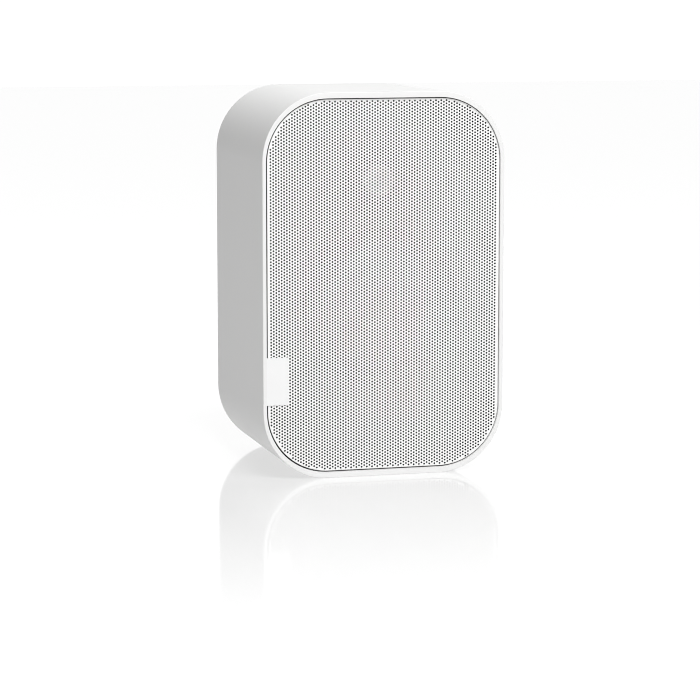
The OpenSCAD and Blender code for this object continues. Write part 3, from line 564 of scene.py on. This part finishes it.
def makeGrille(look):
    width, _, height = grilleHigh - grilleLow + 2 * look["outset"]
    radius = look["cornerRadius"] + look["outset"]
    centreX, centreZ = look["aside"], (grilleHigh[2] + grilleLow[2]) / 2
    frontY, skirtY = grilleLow[1], grilleHigh[1]
    thickness, fold = look["thickness"], look["foldRadius"]
    backY = frontY + thickness
    cells, edgeHoles = holeMiddles(look, width - 2 * fold, height - 2 * fold, radius - fold)
    limits = np.quantile(cells[:, 1], np.linspace(0, 1, look["bands"] + 1))
    limits[0], limits[-1] = -height, height   # the outermost bands have no outer limit
    for k in range(look["bands"]):
        inBand = (cells[:, 1] >= limits[k]) & (cells[:, 1] < limits[k + 1])
        flat, faces, _ = perforatedBand(cells[inBand], look)
        points = sheetPoints(flat, frontY, backY, centreX, centreZ)
        obliqueMap(makePiece(f"grille_sheet_{k + 1}", points, faces, "root", "grille_white"))
    # Rim of the sheet: from the last whole cells out to the fold, with the edge holes in it
    flat, _, jagged = perforatedBand(cells, look)
    used, local = np.unique(jagged, return_inverse=True)
    middles, ways = cabinetRound(width, height, radius, look["perCorner"])
    outer = middles + ways * (radius - fold)
    sides, around = look["holeSides"], len(outer)
    rounds = (edgeHoles[:, None] + holeRound(look)).reshape(-1, 2)
    points = np.concatenate([flat[used], rounds, outer])
    ownHole, place = np.divmod(np.arange(len(rounds)), sides)
    roundEdges = np.stack([place, (place + 1) % sides], 1) + ownHole[:, None] * sides + len(used)
    step = np.arange(around)
    outerEdges = np.stack([step, (step + 1) % around], 1) + len(used) + len(rounds)
    cut = np.concatenate([local.reshape(-1, 2), roundEdges])
    ring = fillBetween(points, np.concatenate([cut, outerEdges]))
    count = len(points)
    edgeWalls = np.stack([cut[:, 0], cut[:, 1], cut[:, 1] + count, cut[:, 0] + count], 1)
    # Section of the fold and skirt, from the flat face over the outside and back up the inside.
    # Both folds are quarter circles about the same middle.
    arc = np.linspace(0, math.pi / 2, look["foldSteps"] + 1)
    quarter = np.stack([np.sin(arc), -np.cos(arc)], 1)
    foldMiddle = (-fold, frontY + fold)
    legEnd = [(0, skirtY), (-thickness, skirtY)]
    section = np.concatenate([
        quarter * fold + foldMiddle, legEnd, quarter[::-1] * (fold - thickness) + foldMiddle])
    skirt = carriedProfile(middles, ways, radius, section, centreX, centreZ)
    faces = ring.tolist() + (ring[:, ::-1] + count).tolist() + edgeWalls.tolist()
    faces += gridFaces(len(section), around, 2 * count).tolist()
    points = np.concatenate([sheetPoints(points, frontY, backY, centreX, centreZ), skirt])
    rim = makePiece("grille_rim", points, faces, "root", "grille_white")
    joinAndTurnOut(rim, look["sharpDeg"])
    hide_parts("grille")
    print("grille:", len(cells) + len(edgeHoles), "holes")


def joinAndTurnOut(piece, sharpDeg, samePoint=0.002 * mm):
    # Welds grids that meet at the same points and turns every face outwards
    work = bmesh.new()
    work.from_mesh(piece.data)
    bmesh.ops.remove_doubles(work, verts=work.verts, dist=samePoint)
    bmesh.ops.recalc_face_normals(work, faces=work.faces)
    openEdges = sum(1 for e in work.edges if not e.is_manifold)
    work.to_mesh(piece.data)
    work.free()
    if openEdges:
        print(piece.name, "has", openEdges, "open edges")
    piece.data.polygons.foreach_set("use_smooth", np.ones(len(piece.data.polygons), bool))
    piece.data.set_sharp_from_angle(angle=math.radians(sharpDeg))


makeGrille(grilleSheet)


# Soft rings between what moves and what stands still. Each line runs outwards over the middle of
# the ring's thickness, in distances from its axis and heights from the baffle's front face.
woofer = {
    "axis": (0, 110 * mm),
    "edgeR": 38.4 * mm,        # inner end, glued to the cone
    "coneR": 41.0 * mm,
    "rollR": 3.5 * mm,
    "outerR": 51.5 * mm,
    "seat": 1.2 * mm,          # height of the frame's face
    "rubber": 0.7 * mm,
    "formerR": 13.0 * mm,
    "wavesFrom": 15.0 * mm,
    "wavesTo": 26.0 * mm,
    "spiderR": 31.5 * mm,
    "spiderHeight": -18.7 * mm,
    "cloth": 0.6 * mm,
    "waves": 4,
    "perWave": 20,
    "waveHeight": 0.9 * mm,
}
tweeter = {
    "axis": (0, 192 * mm),
    "domeR": 10.2 * mm,
    "rollR": 1.1 * mm,
    "outerR": 17.0 * mm,
    "seat": -0.6 * mm,
    "sheet": 0.3 * mm,
}


def softRing(name, axis, line, thickness, still, moving, slotName,
             around=144, sharpDeg=50.0):
    # Sets the line out by half the thickness to either side, and turns that closed section about
    # the axis. It works out for each point a share of the motion, whole inside radius moving and
    # none outside radius still, but nothing uses it.
    line = np.array(line, float)
    along = np.gradient(line, axis=0)
    across = np.stack([-along[:, 1], along[:, 0]], 1)
    across /= np.hypot(along[:, 0], along[:, 1])[:, None]
    front, back = line + across * thickness / 2, line - across * thickness / 2
    section = np.concatenate([front, back[::-1], front[:1]])
    turn = np.linspace(0, 2 * math.pi, around, endpoint=False)
    radius, height = section[:, :1], section[:, 1:]
    x, z = axis[0] + radius * np.cos(turn), axis[1] + radius * np.sin(turn)
    y = np.broadcast_to(baffleFront - height, x.shape)
    points = np.stack([x, y, z], -1).reshape(-1, 3)
    piece = makePiece(name, points, gridFaces(len(section), around).tolist(), None, slotName)
    joinAndTurnOut(piece, sharpDeg)
    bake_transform(piece)
    # A share of the motion by distance from the axis, the same all round; it is worked out but not
    # stored or used
    points = np.empty(len(piece.data.vertices) * 3)
    piece.data.vertices.foreach_get("co", points)
    points = points.reshape(-1, 3)
    far = np.hypot(points[:, 0] - axis[0], points[:, 2] - axis[1])
    share = np.clip((still - far) / (still - moving), 0, 1)
    share = share * share * (3 - 2 * share)
    return piece


def rollLine(inner, rollStart, rollR, outer, flat, centre, steps=24):
    # A flat lip, half a circle that bulges forward, and a flat lip
    low = math.asin(min(max((flat - centre) / rollR, 0), 1))
    angle = np.linspace(math.pi - low, low, steps + 1)
    roll = np.stack([rollStart + rollR + rollR * np.cos(angle), centre + rollR * np.sin(angle)], 1)
    start = [(inner, flat)] if inner < rollStart else []
    return np.concatenate([np.array(start).reshape(-1, 2), roll, [(outer, flat)]])


def makeSoftRings():
    w, t = woofer, tweeter
    line = rollLine(w["edgeR"], w["coneR"], w["rollR"], w["outerR"],
                    w["seat"] + w["rubber"] / 2, w["seat"])
    ring = softRing("woofer_roll", w["axis"], line, w["rubber"],
                    w["coneR"] + 2 * w["rollR"], w["coneR"], "roll_rubber")
    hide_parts("woofer_surround")
    share = np.linspace(0, 1, w["perWave"] * w["waves"] + 1)
    radius = w["wavesFrom"] + (w["wavesTo"] - w["wavesFrom"]) * share
    height = w["spiderHeight"] + w["waveHeight"] * np.sin(2 * math.pi * w["waves"] * share)
    ends = np.array([(w["formerR"], w["spiderHeight"]), (w["spiderR"], w["spiderHeight"])])
    line = np.concatenate([ends[:1], np.stack([radius, height], 1), ends[1:]])
    ring = softRing("woofer_corrugated_ring", w["axis"], line, w["cloth"],
                    w["wavesTo"], w["wavesFrom"], "spider_cloth")
    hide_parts("woofer_spider")
    middle = t["rollR"] - t["sheet"] / 2
    line = rollLine(t["domeR"], t["domeR"], middle, t["outerR"],
                    t["seat"] + t["sheet"] / 2, t["seat"] / 2)
    ring = softRing("tweeter_roll", t["axis"], line, t["sheet"],
                    t["domeR"] + 2 * t["rollR"], t["domeR"], "roll_rubber")
    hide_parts("tweeter_surround")


makeSoftRings()
print("soft rings ready")


# Camera, floor and light
def setCamera(look):
    # Puts the camera where the photograph was taken from: it looks along forward, and the rim's
    # middle lies aside and below its axis by the amounts in the dictionary.
    turn, down = math.radians(look["turnDeg"]), math.radians(look["lookDownDeg"])
    forward = Vector((math.sin(turn) * math.cos(down), math.cos(turn) * math.cos(down),
                      -math.sin(down)))
    right = Vector((math.cos(turn), -math.sin(turn), 0))
    up = right.cross(forward)
    aside, above = look["asideAndUp"]
    place = rimMiddle - right * aside - up * above - forward * look["distance"]
    lens = bpy.data.cameras.new("photo_camera")
    lens.sensor_width = look["sensorMm"]
    lens.lens = look["focalPx"] / look["pictureWidth"] * look["sensorMm"]
    lens.clip_end = look["farEnd"]
    camera = bpy.data.objects.new("photo_camera", lens)
    turned = Matrix((right, up, -forward)).transposed().to_4x4()
    camera.matrix_world = Matrix.Translation(place) @ turned
    bpy.context.scene.collection.objects.link(camera)
    bpy.context.scene.camera = camera


def makeFloor(look):
    # A pale floor at the height the speaker stands on. Its mirror share is largest under the
    # speaker and falls evenly to nothing towards the camera.
    half = look["floorHalf"]
    mesh = bpy.data.meshes.new("floor")
    corners = [(-half, -half, 0), (half, -half, 0), (half, half, 0), (-half, half, 0)]
    mesh.from_pydata(corners, [], [(0, 1, 2, 3)])
    finish, tree, shader = newFinish(
        "floor_finish", (look["floorColor"],) * 3, look["floorRoughness"])
    shader.inputs["Specular IOR Level"].default_value = 0.0
    shader.inputs["Emission Color"].default_value = (1, 1, 1, 1)
    shader.inputs["Emission Strength"].default_value = look["floorGlow"]
    turn = math.radians(look["turnDeg"])
    along = addNode(tree, "ShaderNodeVectorMath", {"operation": "DOT_PRODUCT"})
    along.inputs[1].default_value = (math.sin(turn), math.cos(turn), 0)
    tree.links.new(objectPlace(tree), along.inputs[0])
    share = addNode(tree, "ShaderNodeMapRange", inputs={
        "From Min": look["mirrorEnds"][0], "From Max": look["mirrorEnds"][1],
        "To Min": 0.0, "To Max": look["mirrorMost"]})
    tree.links.new(along.outputs["Value"], share.inputs["Value"])
    pale = look["mirrorColor"]
    mirror = addNode(tree, "ShaderNodeBsdfAnisotropic", inputs={
        "Color": (pale, pale, pale, 1), "Roughness": look["mirrorRoughness"]})
    mix = addNode(tree, "ShaderNodeMixShader")
    tree.links.new(share.outputs["Result"], mix.inputs["Fac"])
    tree.links.new(shader.outputs[0], mix.inputs[1])
    tree.links.new(mirror.outputs[0], mix.inputs[2])
    tree.links.new(mix.outputs[0], tree.nodes["Material Output"].inputs["Surface"])
    mesh.materials.append(finish)
    floor = bpy.data.objects.new("floor", mesh)
    bpy.context.scene.collection.objects.link(floor)


def softLight(name, place, target, size, power):
    lamp = bpy.data.lights.new(name, "AREA")
    lamp.shape, lamp.size, lamp.energy = "SQUARE", size, power
    light = bpy.data.objects.new(name, lamp)
    way = Vector(target) - Vector(place)
    turned = way.to_track_quat("-Z", "Y").to_matrix().to_4x4()
    light.matrix_world = Matrix.Translation(place) @ turned
    bpy.context.scene.collection.objects.link(light)


def smoothRise(tree, value, ends, height):
    node = addNode(tree, "ShaderNodeMapRange", {"interpolation_type": "SMOOTHSTEP"}, {
        "From Min": ends[0], "From Max": ends[1], "To Min": 0.0, "To Max": height})
    tree.links.new(value, node.inputs["Value"])
    return node.outputs["Result"]


def mathOf(tree, operation, first, second):
    node = addNode(tree, "ShaderNodeMath", {"operation": operation})
    for socket, value in zip(node.inputs, (first, second)):
        if isinstance(value, float):
            socket.default_value = value
        else:
            tree.links.new(value, socket)
    return node.outputs[0]


def makeSurround(look):
    # A dim room with a bright backdrop behind the speaker and a bright ceiling
    world = bpy.data.worlds.new("studio")
    bpy.context.scene.world = world
    world.use_nodes = True
    tree = world.node_tree
    split = addNode(tree, "ShaderNodeSeparateXYZ")
    tree.links.new(addNode(tree, "ShaderNodeTexCoord").outputs["Generated"], split.inputs[0])
    backwards = smoothRise(
        tree, split.outputs["Y"], look["backdropRise"], look["backdropLight"])
    rightwards = smoothRise(tree, split.outputs["X"], look["backdropEdge"], 1.0)
    above = smoothRise(tree, split.outputs["Z"], look["overheadRise"], look["overheadLight"])
    total = mathOf(tree, "ADD", mathOf(tree, "MULTIPLY", backwards, rightwards), above)
    background = tree.nodes["Background"]
    background.inputs["Color"].default_value = (1, 1, 1, 1)
    tree.links.new(mathOf(tree, "ADD", total, look["roomLight"]), background.inputs["Strength"])


setCamera(studio)
makeFloor(studio)
makeSurround(studio)
softLight("key", studio["keyPlace"], studio["keyAim"], studio["keySize"], studio["keyPower"])
bpy.context.scene.view_settings.view_transform = "Standard"
bpy.context.scene.cycles.filter_width = studio["filterPx"]
print("studio ready")
